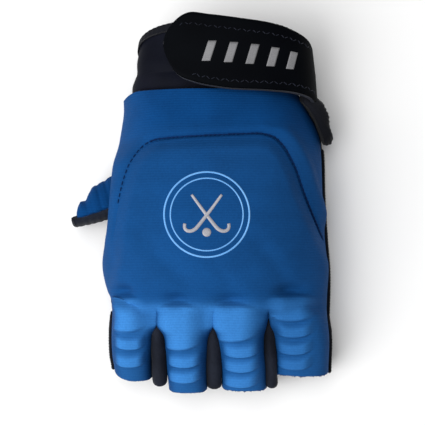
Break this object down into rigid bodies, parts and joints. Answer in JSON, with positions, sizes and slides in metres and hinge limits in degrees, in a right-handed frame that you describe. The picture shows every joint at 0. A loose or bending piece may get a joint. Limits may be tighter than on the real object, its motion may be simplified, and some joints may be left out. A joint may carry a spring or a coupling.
{
  "type": "field hockey glove",
  "caption": "Left-hand half-finger hockey glove with a moulded ribbed foam back, padded strips between the fingers, a neoprene cuff and a wrist strap.",
  "frame": {"origin": "on the surface the palm rests on, under the middle of the palm", "axes": "+Z out of the back of the hand, +Y from the fingers to the wrist, +X from the thumb side to the little-finger side"},
  "size_m": [0.131, 0.1865, 0.055],
  "materials": {
    "blue_knit": "matt blue knit laminated over foam",
    "moulded_foam": "closed-cell foam, satin",
    "lining": "brushed dark lining",
    "black_knit": "matt black stretch knit",
    "palm_suede": "matt synthetic suede",
    "overlock": "stitched black binding",
    "neoprene": "smooth matt neoprene",
    "webbing": "dense black weave",
    "hook": "moulded hooks",
    "loop": "brushed loop pile",
    "silver_print": "silver transfer print"
  },
  "bodies": {
    "hand": {"back_cover": "blue_knit", "back_foam": "moulded_foam", "back_liner": "lining", "dorsal_pad": "moulded_foam", "knuckle_pad_index": "moulded_foam", "knuckle_pad_middle": "moulded_foam", "knuckle_pad_ring": "moulded_foam", "knuckle_pad_little": "moulded_foam", "palm_panel": "palm_suede", "seam_binding_ulnar": "overlock", "seam_binding_radial": "overlock", "strap_anchor": "webbing", "wrist_sleeve": "neoprene"},
    "index_finger": {"index_cover": "blue_knit", "index_foam": "moulded_foam", "index_ribs": "moulded_foam", "index_sleeve": "black_knit"},
    "middle_finger": {"middle_cover": "blue_knit", "middle_foam": "moulded_foam", "middle_ribs": "moulded_foam", "middle_sleeve": "black_knit", "fourchette_index_middle": "black_knit"},
    "ring_finger": {"ring_cover": "blue_knit", "ring_foam": "moulded_foam", "ring_ribs": "moulded_foam", "ring_sleeve": "black_knit", "fourchette_middle_ring": "black_knit", "fourchette_ring_little": "black_knit"},
    "little_finger": {"little_cover": "blue_knit", "little_foam": "moulded_foam", "little_ribs": "moulded_foam", "little_sleeve": "black_knit"},
    "thumb": {"thumb_cover": "blue_knit", "thumb_foam": "moulded_foam", "thumb_ribs": "moulded_foam", "thumb_sleeve": "black_knit"},
    "cuff": {"cuff_band": "neoprene", "cuff_rim_binding": "overlock", "loop_patch": "loop"},
    "strap": {"strap_band": "webbing", "strap_edge_binding": "overlock", "hook_patch": "hook", "strap_badge": "silver_print"}
  },
  "joints": [
    {"name": "index_flex", "type": "hinge", "parent": "hand", "child": "index_finger", "pos_m": [-0.0416, -0.063, 0.015], "axis": [1, 0, 0], "range_deg": [-8, 45], "stiffness_Nm_per_rad": 0.05},
    {"name": "middle_flex", "type": "hinge", "parent": "hand", "child": "middle_finger", "pos_m": [-0.0145, -0.063, 0.015], "axis": [1, 0, 0], "range_deg": [-8, 45], "stiffness_Nm_per_rad": 0.05},
    {"name": "ring_flex", "type": "hinge", "parent": "hand", "child": "ring_finger", "pos_m": [0.0143, -0.063, 0.015], "axis": [1, 0, 0], "range_deg": [-8, 45], "stiffness_Nm_per_rad": 0.05},
    {"name": "little_flex", "type": "hinge", "parent": "hand", "child": "little_finger", "pos_m": [0.0443, -0.063, 0.015], "axis": [1, 0, 0], "range_deg": [-8, 45], "stiffness_Nm_per_rad": 0.05},
    {"name": "thumb_swing", "type": "hinge", "parent": "hand", "child": "thumb", "pos_m": [-0.046, 0.0025, 0.0155], "axis": [0, 0, 1], "range_deg": [-15, 25], "stiffness_Nm_per_rad": 0.03},
    {"name": "wrist_flex", "type": "hinge", "parent": "hand", "child": "cuff", "pos_m": [0.0032, 0.056, 0.02], "axis": [1, 0, 0], "range_deg": [-12, 12], "stiffness_Nm_per_rad": 0.3, "deforming": ["wrist_sleeve"]},
    {"name": "strap_open", "type": "hinge", "parent": "cuff", "child": "strap", "pos_m": [0.0496, 0.074, 0.0165], "axis": [0, 1, 0], "range_deg": [0, 140]}
  ]
}
